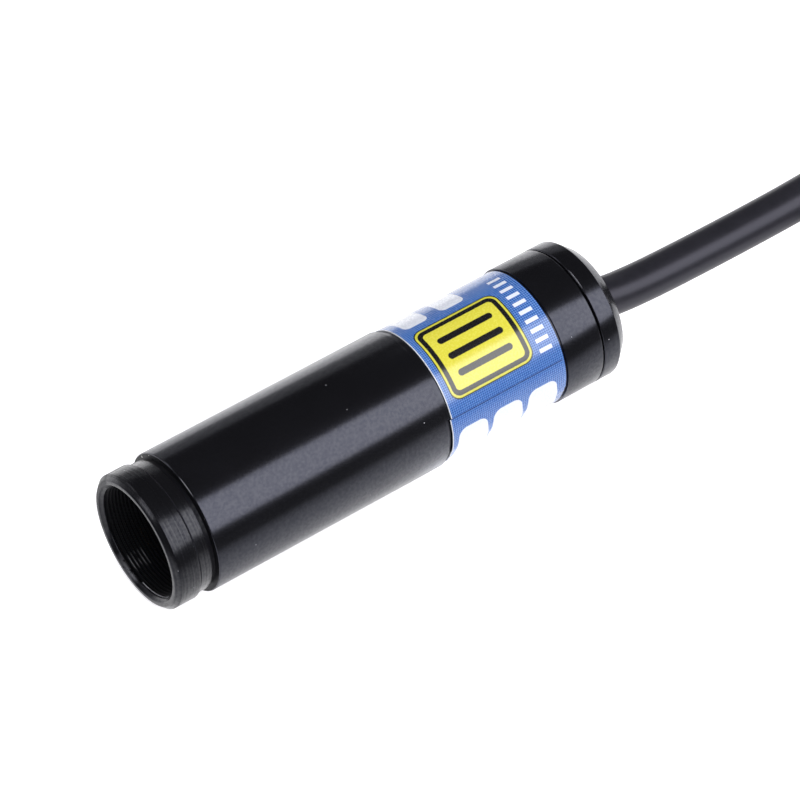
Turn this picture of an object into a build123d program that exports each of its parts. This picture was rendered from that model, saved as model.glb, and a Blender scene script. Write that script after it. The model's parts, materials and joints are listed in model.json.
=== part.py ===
# Laser diode module: a turned 19 mm housing with its optics, driver board, end cap and cable.
#
# The module lies on its side. +X runs from the mouth to the cable, so the beam leaves along -X.
# +Z is up, and the barrel rests on Z = 0. The origin lies under the middle of the turned body.
import os
from math import cos, pi, radians, sin, tan

from build123d import *

# Outside of the housing, from the mouth to the cable (mm)
barrel_radius = 9.5
collar_step = 0.28
neck_step = 0.62
collar_length = 3.6
neck_length = 2.4
undercut_width = 0.7
undercut_depth = 0.43
barrel_length = 34.8
label_seat_length = 18.85
rear_land_length = 5.62
parting_gap = 0.38
flange_length = 2.32
cone_length = 1.58
cone_drop = 1.41
rim_chamfer = 0.65
collar_bevel = 0.16
step_chamfer = 0.22
end_chamfer = 0.12

# Inside of the housing
neck_wall = 1.286
mouth_chamfer = 0.47
relief_depth = 0.456
relief_length = 1.2
lens_bore_radius = 5.25
cavity_wall = 1.4

# Label
label_seat_depth = 0.32
label_thickness = 0.12
label_front_margin = 0.98
label_rear_margin = 0.21
label_seam_angle = 68.8
label_overlap_angle = 30.0
label_lap_taper = 3.0
label_skew = 0.3

# Optics
thread_clearance = 0.05
lock_ring_setback = 0.7
lock_ring_length = 1.5
lock_ring_bore = 3.6
spanner_slot_width = 1.2
spanner_slot_depth = 0.8
lens_cell_length = 7.0
lens_cell_gap = 1.8
lens_radius = 3.25
lens_thickness = 2.6
lens_edge_thickness = 1.5
lens_clearance = 0.03
cell_aperture_radius = 2.7
cell_front_wall = 1.2
cell_front_bevel = 0.4
cell_thread_bore_radius = 3.6
retainer_length = 1.2
retainer_bore = 2.5
spring_wire_radius = 0.25
spring_radius = 4.1
spring_turns = 4
spring_flat_count = 14
spring_seat_clearance = 0.02

# Laser diode and the block that carries it
holder_length = 12.0
holder_fit = 0.03
spring_pocket_radius = 4.75
spring_pocket_depth = 3.0
diode_web = 1.2
can_hole_radius = 2.0
diode_base_radius = 2.8
diode_base_thickness = 1.2
diode_base_clearance = 0.04
can_radius = 1.775
can_height = 2.4
can_wall = 0.15
can_window_radius = 0.8
window_radius = 1.2
window_thickness = 0.25
pin_radius = 0.225
pin_circle_radius = 1.0
pin_reach = 2.4
clamp_radius = 4.4
clamp_length = 2.0
clamp_bore = 1.7

# Electronics
board_gap = 0.4
board_length = 17.4
board_side_gap = 0.3
board_edge_margin = 0.9
board_thickness = 1.0
board_corner = 0.6
board_lift = 0.25
sleeve_wall = 0.35
sleeve_fit = 0.05
mould_draft = 4
chip_size = (3.2, 3.0, 1.2)
chip_place = 5.9
chip_leg = (0.35, 0.95, 0.2)
chip_leg_pitch = 0.8
transistor_size = (2.5, 4.5, 1.5)
transistor_place = 5.6
transistor_tab = (0.9, 2.0, 0.3)
transistor_leg_pitch = 1.5
transistor_leg_width = 0.45
trimmer_size = (3.6, 3.6, 1.9)
trimmer_corner = 0.3
trimmer_place = 10.4
trimmer_screw_radius = 1.25
trimmer_screw_height = 0.5
trimmer_slot_width = 0.42
capacitor_size = (3.5, 2.4, 1.9)
capacitor_place = 10.6
capacitor_pitch = 2.8
resistor_size = (2.0, 1.25, 0.55)
resistor_place = 7.5
resistor_pitch = 3.4
resistor_inset = 2.25
choke_radius = 2.4
choke_height = 2.2
choke_place = 13.0
diode_smd_size = (4.3, 2.6, 2.1)
diode_smd_place = 3.4
pad_hole_radius = 0.35
pad_from_end = 1.6
core_pitch = 3.0
core_room = 7.47
core_straight = 1.8

# End cap and what holds the cable in it
spigot_length = 6.5
spigot_fit = 0.04
parting_depth = 0.65
seal_groove_setback = 2.2
seal_groove_width = 1.5
seal_ring_radius = 0.6
seal_squeeze = 0.01
gland_share = 0.66
gland_floor = 1.5
cable_hole_radius = 3.25
cable_hole_chamfer = 0.4
seal_length = 2.6
gland_ring_length = 2.0
gland_clearance = 0.2
crimp_gap = 0.2
crimp_length = 2.0
crimp_wall = 0.9
jacket_reach = 1.0

# Cable
cable_radius = 2.75
bend_share = 0.45
core_radius = 0.55
free_core_radius = 0.7
free_core_length = 21.5
free_core_bends = (0.25, 0.65)
core_fan_share = 0.6
tip_radius = 0.42
tip_length = 6.0
sleeve_radius = 3.05
sleeve_length = 12.0
sleeve_clearance = 0.05

# Hank of the cable's put-away length
tie_thickness = 0.45
tie_clearance = 0.05
hank_distance = 60.425
hank_straight = 52.0
hank_centre_y = -12.0
hank_inner_radius = 16.5
hank_join_reach = 33.5
hank_end_reach = 6.0
hank_chamfer = 2.3
tie_width = 3.0
tie_places = ((42.8, 1), (22.8, -1))
tie_tail_radius = 0.6
tie_tail_length = 9.0

# Places along the axis that follow from the lengths
module_length = (
    collar_length + neck_length + barrel_length + label_seat_length
    + rear_land_length + parting_gap + flange_length + cone_length
)
axis_height = barrel_radius
collar_radius = barrel_radius - collar_step
neck_radius = barrel_radius - neck_step
undercut_radius = neck_radius - undercut_depth
cone_end_radius = barrel_radius - cone_drop
mouth_thread_radius = neck_radius - neck_wall
relief_radius = mouth_thread_radius + relief_depth
cavity_radius = barrel_radius - cavity_wall
shoulder_radius = barrel_radius - parting_depth
groove_floor = cavity_radius - 2 * seal_ring_radius
gland_bore_radius = cable_radius + gland_share * (groove_floor - cable_radius)
lining_radius = cavity_radius - sleeve_fit
board_half_width = lining_radius - sleeve_wall - board_side_gap
front_x = -module_length / 2
neck_x = front_x + collar_length
step_x = neck_x + neck_length
seat_x = step_x + barrel_length
land_x = seat_x + label_seat_length
housing_end_x = land_x + rear_land_length
flange_x = housing_end_x + parting_gap
cone_x = flange_x + flange_length
rear_x = cone_x + cone_length
spigot_x = housing_end_x - spigot_length
gland_floor_x = housing_end_x + gland_floor
seal_x = gland_floor_x - seal_length
gland_ring_x = seal_x - gland_ring_length
crimp_x = gland_ring_x - crimp_gap - crimp_length
jacket_x = crimp_x - jacket_reach
board_end_x = jacket_x - core_room
board_x = board_end_x - board_length
holder_end_x = board_x - board_gap
cavity_x = holder_end_x - holder_length
cell_end_x = cavity_x - lens_cell_gap
cell_x = cell_end_x - lens_cell_length
lock_ring_x = cell_x - lock_ring_length
lens_bore_x = lock_ring_x - lock_ring_setback
relief_x = lens_bore_x - relief_length
spring_floor_x = cavity_x + spring_pocket_depth
base_x = spring_floor_x + diode_web
base_end_x = base_x + diode_base_thickness
clamp_end_x = base_end_x + clamp_length
board_top = axis_height + board_lift + board_thickness / 2
board_bottom = board_top - board_thickness
seat_radius = barrel_radius - label_seat_depth
label_radius = seat_radius + label_thickness
hank_near_x = rear_x + hank_distance
hank_far_x = hank_near_x + hank_straight
hank_join_x = hank_near_x + hank_join_reach
hank_end_x = hank_near_x + hank_end_reach
hank_outer_radius = hank_inner_radius + 2 * cable_radius
hank_lift = tie_thickness + tie_clearance
floor_cable_z = hank_lift + cable_radius

turning = Plane(origin=(0, 0, axis_height), x_dir=(1, 0, 0), z_dir=(0, -1, 0))
spin = Axis((0, 0, axis_height), (1, 0, 0))
os.makedirs("parts", exist_ok=True)


def across(x):
    """The plane square to the module's axis at x, with its own x towards +Y and its y up."""
    return Plane(origin=(x, 0, axis_height), x_dir=(0, 1, 0), z_dir=(1, 0, 0))


def turned(*corners):
    """A closed outline of (x, radius) corners, revolved round the module's axis."""
    with BuildSketch(turning) as outline:
        with BuildLine():
            Polyline(*corners, close=True)
        make_face()
    revolve(outline.sketch, axis=spin)


def spanner_slots(x, depth, span):
    """Two slots across a ring's face at x, cut into it by depth, for a pin spanner."""
    with BuildSketch(across(x)) as slots:
        Rectangle(span, spanner_slot_width)
    extrude(slots.sketch, amount=depth, mode=Mode.SUBTRACT)


def keep(piece, name):
    """Labels a finished piece and writes its STEP file."""
    piece.part.label = name
    export_step(piece.part, f"parts/{name}.step")


# The housing: one turned tube, with an undercut where the neck meets the barrel. The mouth's thread
# is left at its crest bore. Behind it a relief and a narrower bore for the lens cell lead to the
# cavity, which is open at the rear.
with BuildPart() as housing:
    turned(
        (front_x, mouth_thread_radius + mouth_chamfer),
        (front_x, collar_radius - rim_chamfer),
        (front_x + rim_chamfer, collar_radius),
        (neck_x - collar_bevel, collar_radius),
        (neck_x, neck_radius),
        (step_x - undercut_width, neck_radius),
        (step_x - undercut_width, undercut_radius),
        (step_x, undercut_radius),
        (step_x, barrel_radius - step_chamfer),
        (step_x + step_chamfer, barrel_radius),
        (seat_x, barrel_radius),
        (seat_x, seat_radius),
        (land_x, seat_radius),
        (land_x, barrel_radius),
        (housing_end_x - end_chamfer, barrel_radius),
        (housing_end_x, barrel_radius - end_chamfer),
        (housing_end_x, cavity_radius),
        (cavity_x, cavity_radius),
        (cavity_x, lens_bore_radius),
        (lens_bore_x, lens_bore_radius),
        (lens_bore_x, relief_radius),
        (relief_x, relief_radius),
        (relief_x, mouth_thread_radius),
        (front_x + mouth_chamfer, mouth_thread_radius),
    )
keep(housing, "housing")

# The label: a printed film once round its seat. It laps over itself, and it was wound with a
# slight skew, so the outer end of the film stands a little forward of the inner one.
label_x = seat_x + label_front_margin
label_end_x = land_x - label_rear_margin
with BuildPart() as label_wrap:
    with BuildSketch(across(label_x)):
        Circle(label_radius)
        Circle(seat_radius, mode=Mode.SUBTRACT)
    extrude(amount=label_end_x - label_x)
    with BuildSketch(across(label_x - label_skew)):
        with BuildLine():
            lap_start = 90 + label_seam_angle
            lap_angle = label_overlap_angle - label_lap_taper
            inner_lap = CenterArc((0, 0), label_radius, lap_start, label_overlap_angle)
            outer_lap = CenterArc(
                (0, 0), label_radius + label_thickness, lap_start, lap_angle
            )
            Line(inner_lap @ 0, outer_lap @ 0)
            Line(inner_lap @ 1, outer_lap @ 1)
        make_face()
    extrude(amount=label_end_x - label_x)
keep(label_wrap, "label_wrap")

# The lock ring and the lens cell share the fine thread of the lens bore. Both have two slots
# that a pin spanner reaches through the mouth.
cell_radius = lens_bore_radius - thread_clearance
with BuildPart() as lens_lock_ring:
    turned(
        (lock_ring_x, lock_ring_bore),
        (lock_ring_x, cell_radius),
        (lock_ring_x + lock_ring_length, cell_radius),
        (lock_ring_x + lock_ring_length, lock_ring_bore),
    )
    spanner_slots(lock_ring_x, spanner_slot_depth, 2 * barrel_radius)
keep(lens_lock_ring, "lens_lock_ring")

lens_seat_x = cell_x + cell_front_wall
lens_back_x = lens_seat_x + lens_edge_thickness
with BuildPart() as lens_cell:
    turned(
        (cell_x, cell_aperture_radius + cell_front_bevel),
        (cell_x, cell_radius),
        (cell_end_x, cell_radius),
        (cell_end_x, cell_thread_bore_radius),
        (lens_back_x, cell_thread_bore_radius),
        (lens_back_x, lens_radius + lens_clearance),
        (lens_seat_x, lens_radius + lens_clearance),
        (lens_seat_x, cell_aperture_radius),
    )
    spanner_slots(cell_x, spanner_slot_depth, 2 * barrel_radius)
keep(lens_cell, "lens_cell")

# The lens: flat towards the diode, domed towards the mouth, with a ground edge.
with BuildPart() as collimating_lens:
    with BuildSketch(turning):
        with BuildLine():
            lens_crown = (lens_back_x - lens_thickness, 0)
            dome_sag = lens_thickness - lens_edge_thickness
            dome_radius = (cell_aperture_radius**2 + dome_sag**2) / (2 * dome_sag)
            RadiusArc((lens_seat_x, cell_aperture_radius), lens_crown, -dome_radius)
            Polyline(
                (lens_seat_x, cell_aperture_radius),
                (lens_seat_x, lens_radius),
                (lens_back_x, lens_radius),
                (lens_back_x, 0),
                lens_crown,
            )
        make_face()
    revolve(axis=spin)
keep(collimating_lens, "collimating_lens")

with BuildPart() as lens_retainer:
    retainer_end_x = lens_back_x + retainer_length
    turned(
        (lens_back_x, retainer_bore),
        (lens_back_x, cell_thread_bore_radius - thread_clearance),
        (retainer_end_x, cell_thread_bore_radius - thread_clearance),
        (retainer_end_x, retainer_bore),
    )
    spanner_slots(retainer_end_x, -spanner_slot_depth, 2 * lens_radius)
keep(lens_retainer, "lens_retainer")

# The spring: round wire wound between the cell and the floor of the holder's pocket.
with BuildPart() as focus_spring:
    spring_start_x = cell_end_x + spring_wire_radius + spring_seat_clearance
    spring_span = spring_floor_x - spring_wire_radius - spring_seat_clearance - spring_start_x
    spring_steps = spring_turns * spring_flat_count
    with BuildLine() as spring_path:
        Polyline(
            *[
                (
                    spring_start_x + spring_span * step / spring_steps,
                    spring_radius * cos(2 * pi * step / spring_flat_count),
                    axis_height + spring_radius * sin(2 * pi * step / spring_flat_count),
                )
                for step in range(spring_steps + 1)
            ]
        )
    spring_wire = spring_path.wire()
    with BuildSketch(Plane(origin=spring_wire @ 0, z_dir=spring_wire % 0)):
        RegularPolygon(spring_wire_radius, 8)
    sweep(path=spring_wire, transition=Transition.RIGHT)
keep(focus_spring, "focus_spring")

# The diode's holder: seats on the cavity's front shoulder. The spring's pocket is in its front,
# and from the rear the diode's header and its clamp ring go in.
diode_bore_radius = diode_base_radius + diode_base_clearance
clamp_bore_radius = clamp_radius + thread_clearance
with BuildPart() as diode_holder:
    turned(
        (cavity_x, spring_pocket_radius),
        (cavity_x, cavity_radius - holder_fit),
        (holder_end_x, cavity_radius - holder_fit),
        (holder_end_x, clamp_bore_radius),
        (base_end_x, clamp_bore_radius),
        (base_end_x, diode_bore_radius),
        (base_x, diode_bore_radius),
        (base_x, can_hole_radius),
        (spring_floor_x, can_hole_radius),
        (spring_floor_x, spring_pocket_radius),
    )
keep(diode_holder, "diode_holder")

with BuildPart() as diode_base:
    turned((base_x, 0), (base_x, diode_base_radius), (base_end_x, diode_base_radius), (base_end_x, 0))
keep(diode_base, "diode_base")

can_front_x = base_x - can_height
can_bore = can_radius - can_wall
with BuildPart() as diode_can:
    turned(
        (can_front_x, can_window_radius),
        (can_front_x, can_radius),
        (base_x, can_radius),
        (base_x, can_bore),
        (can_front_x + can_wall, can_bore),
        (can_front_x + can_wall, can_window_radius),
    )
keep(diode_can, "diode_can")

with BuildPart() as diode_window:
    with BuildSketch(across(can_front_x + can_wall)):
        Circle(window_radius)
    extrude(amount=window_thickness)
keep(diode_window, "diode_window")

# Three pins on a circle. One lies on top of the board and two lie under it.
pin_end_x = board_x + pin_reach
with BuildPart() as diode_pins:
    with BuildSketch(across(base_end_x)):
        with PolarLocations(pin_circle_radius, 3, start_angle=90):
            Circle(pin_radius)
    extrude(amount=pin_end_x - base_end_x)
keep(diode_pins, "diode_pins")

with BuildPart() as diode_clamp_ring:
    turned(
        (base_end_x, clamp_bore),
        (base_end_x, clamp_radius),
        (clamp_end_x, clamp_radius),
        (clamp_end_x, clamp_bore),
    )
    spanner_slots(clamp_end_x, -spanner_slot_depth, 2 * cavity_radius)
keep(diode_clamp_ring, "diode_clamp_ring")

# A plastic tube lines the cavity from the diode's holder to the cap.
with BuildPart() as insulating_sleeve:
    with BuildSketch(across(holder_end_x)):
        Circle(lining_radius)
        Circle(lining_radius - sleeve_wall, mode=Mode.SUBTRACT)
    extrude(amount=spigot_x - holder_end_x)
keep(insulating_sleeve, "insulating_sleeve")

# The driver board: its long edges run along the sleeve, and it has three holes for the cores.
board_on_top = Plane((0, 0, board_top))
core_rows = [(board_end_x - pad_from_end, row * core_pitch) for row in (-1, 0, 1)]
with BuildPart() as driver_board:
    with BuildSketch(Plane((board_x + board_length / 2, 0, board_bottom))):
        RectangleRounded(board_length, 2 * board_half_width, board_corner)
    extrude(amount=board_thickness)
    with Locations(board_on_top):
        with Locations(*core_rows):
            Hole(pad_hole_radius)
keep(driver_board, "driver_board")

# The control chip: a moulded body with four gull-wing legs on each side.
with BuildPart() as driver_chip:
    chip_x = board_x + chip_place
    chip_y = board_edge_margin + chip_size[1] / 2 + chip_leg[1] - board_half_width
    body_bottom = board_top + chip_leg[2] / 2
    with BuildSketch(Plane((chip_x, chip_y, body_bottom))):
        Rectangle(chip_size[0], chip_size[1])
    extrude(amount=chip_size[2], taper=mould_draft)
    with BuildSketch(Plane((chip_x, chip_y, board_top))):
        with GridLocations(chip_leg_pitch, chip_size[1] + chip_leg[1] / 2, 4, 2):
            Rectangle(chip_leg[0], chip_leg[1])
    extrude(amount=chip_leg[2])
keep(driver_chip, "driver_chip")

with BuildPart() as power_transistor:
    transistor_x = board_x + transistor_place
    transistor_y = board_half_width - board_edge_margin - transistor_size[1] / 2
    with BuildSketch(Plane((transistor_x, transistor_y, board_top))):
        Rectangle(transistor_size[0], transistor_size[1])
    extrude(amount=transistor_size[2], taper=mould_draft)
    with BuildSketch(Plane((transistor_x, transistor_y, board_top))):
        with Locations((-transistor_size[0] / 2, 0)):
            Rectangle(transistor_tab[0] * 2, transistor_tab[1])
        with Locations((transistor_size[0] / 2, 0)):
            with GridLocations(0, transistor_leg_pitch, 1, 3):
                Rectangle(transistor_tab[0] * 2, transistor_leg_width)
    extrude(amount=transistor_tab[2])
keep(power_transistor, "power_transistor")

# The trimmer and its slotted screw.
trimmer_x = board_x + trimmer_place
trimmer_y = board_edge_margin + trimmer_size[1] / 2 - board_half_width
trimmer_top = board_top + trimmer_size[2]
with BuildPart() as trimmer:
    with BuildSketch(Plane((trimmer_x, trimmer_y, board_top))):
        RectangleRounded(trimmer_size[0], trimmer_size[1], trimmer_corner)
    extrude(amount=trimmer_size[2])
keep(trimmer, "trimmer")

with BuildPart() as trimmer_screw:
    with BuildSketch(Plane((trimmer_x, trimmer_y, trimmer_top))):
        Circle(trimmer_screw_radius)
    extrude(amount=trimmer_screw_height)
    with BuildSketch(Plane((trimmer_x, trimmer_y, trimmer_top + trimmer_screw_height))):
        Rectangle(2 * trimmer_screw_radius, trimmer_slot_width)
    extrude(amount=-trimmer_screw_height / 2, mode=Mode.SUBTRACT)
keep(trimmer_screw, "trimmer_screw")

with BuildPart() as capacitors:
    capacitor_y = board_half_width - board_edge_margin - (capacitor_size[1] + capacitor_pitch) / 2
    with BuildSketch(Plane((board_x + capacitor_place, capacitor_y, board_top))):
        with GridLocations(0, capacitor_pitch, 1, 2):
            Rectangle(capacitor_size[0], capacitor_size[1])
    extrude(amount=capacitor_size[2])
keep(capacitors, "capacitors")

# Under the board: eight chip resistors in two rows, the choke and the protection diode.
with BuildPart() as resistors:
    with BuildSketch(Plane((board_x + resistor_place, 0, board_bottom - resistor_size[2]))):
        with GridLocations(resistor_pitch, 2 * (board_half_width - resistor_inset), 4, 2):
            Rectangle(resistor_size[0], resistor_size[1])
    extrude(amount=resistor_size[2])
keep(resistors, "resistors")

with BuildPart() as choke:
    with BuildSketch(Plane((board_x + choke_place, 0, board_bottom - choke_height))):
        Circle(choke_radius)
    extrude(amount=choke_height)
keep(choke, "choke")

with BuildPart() as protection_diode:
    diode_smd_x = board_x + pin_reach + diode_smd_place
    with BuildSketch(Plane((diode_smd_x, 0, board_bottom))):
        Rectangle(diode_smd_size[0], diode_smd_size[1])
    extrude(amount=-diode_smd_size[2], taper=mould_draft)
keep(protection_diode, "protection_diode")

# The end cap. Its shoulder seats on the housing's rear face, and leaves the parting groove round it.
spigot_radius = cavity_radius - spigot_fit
groove_x = housing_end_x - seal_groove_setback - seal_groove_width
with BuildPart() as rear_cap:
    turned(
        (spigot_x, gland_bore_radius),
        (spigot_x, spigot_radius),
        (groove_x, spigot_radius),
        (groove_x, groove_floor),
        (groove_x + seal_groove_width, groove_floor),
        (groove_x + seal_groove_width, spigot_radius),
        (housing_end_x, spigot_radius),
        (housing_end_x, shoulder_radius),
        (flange_x, shoulder_radius),
        (flange_x, barrel_radius - end_chamfer),
        (flange_x + end_chamfer, barrel_radius),
        (cone_x, barrel_radius),
        (rear_x, cone_end_radius),
        (rear_x, cable_hole_radius),
        (gland_floor_x, cable_hole_radius),
        (gland_floor_x, gland_bore_radius),
    )
    mouth_edges = rear_cap.edges().filter_by(GeomType.CIRCLE).group_by(Axis.X)[-1]
    chamfer(mouth_edges.sort_by(SortBy.RADIUS)[0], cable_hole_chamfer)
keep(rear_cap, "rear_cap")

# The seal ring fills its groove's depth: round when free, and pressed to eight flats here.
with BuildPart() as cap_o_ring:
    with BuildSketch(turning):
        with Locations((groove_x + seal_groove_width / 2, cavity_radius - seal_ring_radius)):
            RegularPolygon(seal_ring_radius - seal_squeeze, 8, major_radius=False, rotation=22.5)
    revolve(axis=spin)
keep(cap_o_ring, "cap_o_ring")

# The cable seal, the slotted ring that squeezes it, and the ferrule that stops the jacket.
gland_radius = gland_bore_radius - thread_clearance
with BuildPart() as cable_seal:
    turned(
        (seal_x, cable_radius),
        (seal_x, gland_radius),
        (gland_floor_x, gland_radius),
        (gland_floor_x, cable_radius),
    )
keep(cable_seal, "cable_seal")

with BuildPart() as gland_ring:
    turned(
        (gland_ring_x, cable_radius + gland_clearance),
        (gland_ring_x, gland_radius),
        (seal_x, gland_radius),
        (seal_x, cable_radius + gland_clearance),
    )
    spanner_slots(gland_ring_x, spanner_slot_depth, 2 * gland_bore_radius)
keep(gland_ring, "gland_ring")

with BuildPart() as cable_crimp:
    turned(
        (crimp_x, cable_radius),
        (crimp_x, cable_radius + crimp_wall),
        (crimp_x + crimp_length, cable_radius + crimp_wall),
        (crimp_x + crimp_length, cable_radius),
    )
keep(cable_crimp, "cable_crimp")

# The cable's straight stretch: out of the cap, over the near end of the hank in a long low hump,
# and down to the hank's inner turn.
cable_points = [
    (jacket_x, 0.0, axis_height),
    (rear_x + 0.3, 0.0, axis_height),
    (rear_x + 6.425, -0.35, axis_height - 1.2),
    (rear_x + 22.725, -0.45, axis_height - 1.55),
    (rear_x + 36.725, -1.1, axis_height - 0.55),
    (hank_near_x - 11.3, -0.3, 9.15),
    (hank_near_x - 0.2, 1.1, 6.9),
    (hank_near_x + 13.2, 3.7, 3.9),
    (hank_near_x + 25.0, 4.4, floor_cable_z),
    (hank_join_x, 4.4, floor_cable_z),
]


def tube_radii(points):
    """Each corner's bend radius: its arc takes up a fixed share of the shorter run beside it."""
    radii = []
    for before, corner, after in zip(points, points[1:], points[2:]):
        run_in = Vector(corner) - Vector(before)
        run_out = Vector(after) - Vector(corner)
        half_turn = radians(run_in.get_angle(run_out)) / 2
        radii.append(bend_share * min(run_in.length, run_out.length) / tan(half_turn))
    return radii


def tube(points, radius):
    """A round tube along straight runs that are joined by tangent arcs."""
    with BuildLine() as route:
        FilletPolyline(*points, radius=tube_radii(points))
    path = route.wire()
    with BuildSketch(Plane(origin=path @ 0, z_dir=path % 0)) as section:
        Circle(radius)
    sweep(section.sketch, path=path)
    return path.length


with BuildPart() as cable:
    cable_run = tube(cable_points, cable_radius)
keep(cable, "cable")
print("radii", [round(radius, 1) for radius in tube_radii(cable_points)])
print("volume", cable.part.volume, "section times length", cable_run * pi * cable_radius**2)

# The hank: the outer shape of an oblong spiral of cable, two cables wide. The cable joins it at
# the start of the inner turn and leaves it at the end of the outer one.
ring_outside = hank_outer_radius + cable_radius
ring_middle = hank_outer_radius - cable_radius
ring_inside = hank_inner_radius - cable_radius
near_centre_y = hank_centre_y + cable_radius
with BuildPart() as cable_coil:
    with BuildSketch(Plane.XY.offset(hank_lift)):
        with BuildLine():
            Line((hank_near_x, hank_centre_y + ring_outside), (hank_far_x, hank_centre_y + ring_outside))
            CenterArc((hank_far_x, hank_centre_y), ring_outside, 90, -180)
            Polyline(
                (hank_far_x, hank_centre_y - ring_outside),
                (hank_end_x, hank_centre_y - ring_outside),
                (hank_end_x, hank_centre_y - ring_middle),
                (hank_near_x, hank_centre_y - ring_middle),
            )
            CenterArc((hank_near_x, near_centre_y), hank_outer_radius, 270, -180)
        make_face()
        with BuildLine():
            Polyline(
                (hank_far_x, hank_centre_y + ring_inside),
                (hank_join_x, hank_centre_y + ring_inside),
                (hank_join_x, hank_centre_y + ring_middle),
                (hank_near_x, hank_centre_y + ring_middle),
            )
            CenterArc((hank_near_x, near_centre_y), hank_inner_radius, 90, 180)
            Line((hank_near_x, hank_centre_y - ring_inside), (hank_far_x, hank_centre_y - ring_inside))
            CenterArc((hank_far_x, hank_centre_y), ring_inside, -90, 180)
        make_face(mode=Mode.SUBTRACT)
    extrude(amount=2 * cable_radius)
    hank_faces = cable_coil.faces().filter_by(Axis.Z)
    chamfer(hank_faces.edges(), hank_chamfer)
keep(cable_coil, "cable_coil")

# Two twist ties, each a flat band round a straight side of the hank with its twisted ends on top.
bundle = 4 * cable_radius
with BuildPart() as hank_ties:
    for reach, side in tie_places:
        tie_x = hank_near_x + reach
        tie_y = hank_centre_y + side * (hank_inner_radius + cable_radius)
        with BuildSketch(Plane(origin=(tie_x, tie_y, floor_cable_z), x_dir=(0, 1, 0), z_dir=(1, 0, 0))):
            SlotOverall(bundle + 2 * hank_lift, 2 * (cable_radius + hank_lift))
            SlotOverall(bundle + 2 * tie_clearance, 2 * (cable_radius + tie_clearance), mode=Mode.SUBTRACT)
        extrude(amount=tie_width)
        tail_z = floor_cable_z + cable_radius + tie_tail_radius
        with BuildSketch(Plane(origin=(tie_x, tie_y, tail_z), x_dir=(0, 1, 0), z_dir=(1, 0, 0))):
            Circle(tie_tail_radius)
        extrude(amount=tie_tail_length)
keep(hank_ties, "hank_ties")

# The jacket's far end: a shrink sleeve, and three cores that fan out to their tinned tips.
far_y = hank_centre_y - hank_outer_radius - (sleeve_radius - cable_radius + sleeve_clearance)
sleeve_end_x = hank_end_x - sleeve_length
with BuildPart() as end_sleeve:
    with BuildSketch(
        Plane(origin=(hank_end_x, far_y, floor_cable_z), x_dir=(0, 1, 0), z_dir=(-1, 0, 0))
    ):
        Circle(sleeve_radius)
    extrude(amount=sleeve_length)
keep(end_sleeve, "end_sleeve")

# Each core: its sideways place in the sleeve, its height there, and its drift to the side.
free_cores = {
    "red": (-1.0, 0.5, -0.9),
    "black": (0.0, -0.9, 0.4),
    "white": (1.0, 0.5, 2.6),
}
first_bend_x, second_bend_x = [sleeve_end_x - free_core_length * share for share in free_core_bends]
core_tips = []
for colour, (side, rise, drift) in free_cores.items():
    core_points = [
        (sleeve_end_x, far_y + side, floor_cable_z + rise),
        (first_bend_x, far_y + side, floor_cable_z + rise),
        (second_bend_x, far_y + side + drift * core_fan_share, free_core_radius),
        (sleeve_end_x - free_core_length, far_y + side + drift, free_core_radius),
    ]
    core_tips.append((core_points[-2], core_points[-1]))
    with BuildPart() as free_core:
        tube(core_points, free_core_radius)
    keep(free_core, f"wire_{colour}")

with BuildPart() as wire_tips:
    for before, end in core_tips:
        with BuildSketch(Plane(origin=end, z_dir=Vector(*end) - Vector(*before))):
            Circle(tip_radius)
        extrude(amount=tip_length)
keep(wire_tips, "wire_tips")

# Inside, the cores run from the jacket's front end to their holes in the board.
core_spots = {"red": (-1.2, 0.7), "black": (0.0, -1.3), "white": (1.2, 0.7)}
for (colour, (side, rise)), (pad_x, pad_y) in zip(core_spots.items(), core_rows):
    pad_z = board_top + core_radius
    inner_points = [
        (jacket_x, side, axis_height + rise),
        (jacket_x - core_straight, side, axis_height + rise),
        (board_end_x + core_straight, pad_y, pad_z),
        (pad_x, pad_y, pad_z),
    ]
    with BuildPart() as inner_core:
        tube(inner_points, core_radius)
    keep(inner_core, f"wire_{colour}_inner")
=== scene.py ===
import json
from math import cos, pi, radians, sin

import bmesh
import bpy
from mathutils import Matrix, Vector


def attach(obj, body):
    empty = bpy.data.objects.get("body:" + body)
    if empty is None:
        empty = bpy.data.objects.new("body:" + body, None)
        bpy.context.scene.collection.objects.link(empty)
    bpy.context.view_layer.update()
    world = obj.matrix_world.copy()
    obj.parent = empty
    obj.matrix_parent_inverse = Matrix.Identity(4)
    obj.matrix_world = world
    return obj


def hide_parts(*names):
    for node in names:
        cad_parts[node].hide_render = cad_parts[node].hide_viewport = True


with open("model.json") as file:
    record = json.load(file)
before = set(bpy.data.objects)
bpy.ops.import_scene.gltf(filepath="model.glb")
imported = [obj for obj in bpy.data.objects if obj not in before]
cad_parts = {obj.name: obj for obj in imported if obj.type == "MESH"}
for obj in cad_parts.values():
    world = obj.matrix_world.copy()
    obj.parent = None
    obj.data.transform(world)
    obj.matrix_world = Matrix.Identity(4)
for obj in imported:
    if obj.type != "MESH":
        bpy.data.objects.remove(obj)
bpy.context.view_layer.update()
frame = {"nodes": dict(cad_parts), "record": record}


# Camera
# A long lens that looks down at the module's mouth end from the front left. Its three axes, and
# its place in metres, are given in the object's own frame.
scene = bpy.context.scene
camera_right = (0.8054, -0.5927, 0.0)
camera_up = (0.4319, 0.5869, 0.6848)
camera_back = (-0.4059, -0.5515, 0.7287)
camera_place = (-0.22128, -0.30803, 0.4169)
camera_data = bpy.data.cameras.new("camera")
camera_data.lens = 199.8
camera_data.clip_start = 0.01
camera = bpy.data.objects.new("camera", camera_data)
scene.collection.objects.link(camera)
camera.matrix_world = Matrix(
    ((*camera_right, 0.0), (*camera_up, 0.0), (*camera_back, 0.0), (*camera_place, 1.0))
).transposed()
scene.camera = camera
scene.view_settings.view_transform = "Standard"


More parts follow.
